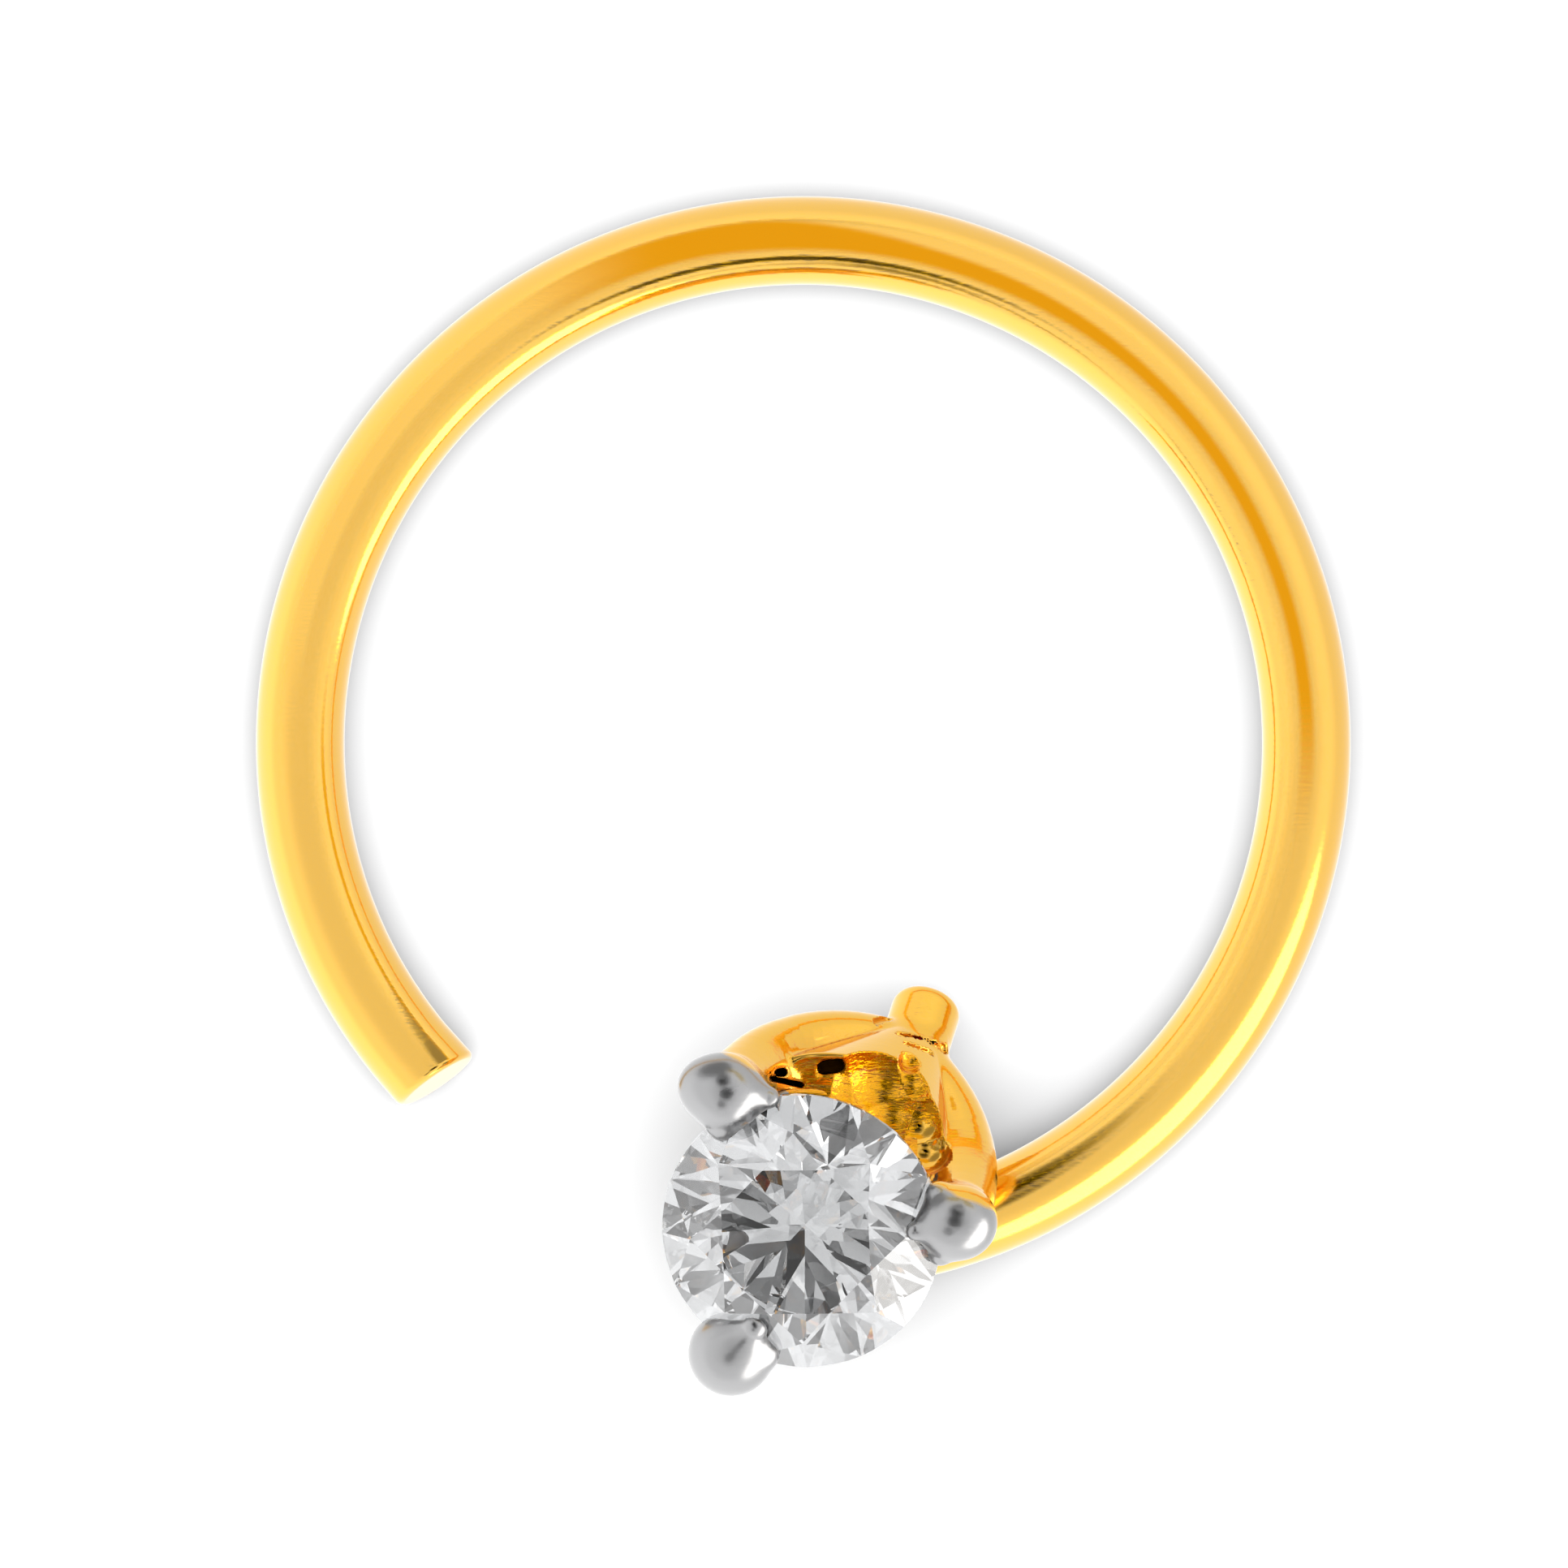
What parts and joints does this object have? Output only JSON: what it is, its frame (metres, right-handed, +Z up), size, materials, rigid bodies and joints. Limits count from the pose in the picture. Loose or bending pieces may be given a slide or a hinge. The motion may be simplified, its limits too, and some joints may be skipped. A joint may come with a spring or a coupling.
{
  "type": "nose pin",
  "caption": "Open hoop of round gold wire with a cut free end, carrying a small claw head set with a clear round brilliant stone.",
  "frame": {"origin": "on the surface, under the middle of the whole pin's box", "axes": "+Z up from the surface the pin lies on, +Y from the stone towards the far side of the hoop, +X to the right as the stone is seen from above"},
  "size_m": [0.009, 0.0098, 0.0026],
  "materials": {
    "gold": "polished yellow gold, with white rhodium on the claw tips",
    "diamond": "clear, polished facets"
  },
  "bodies": {
    "root": {"wire_and_setting": "gold", "stone": "diamond"}
  },
  "joints": []
}
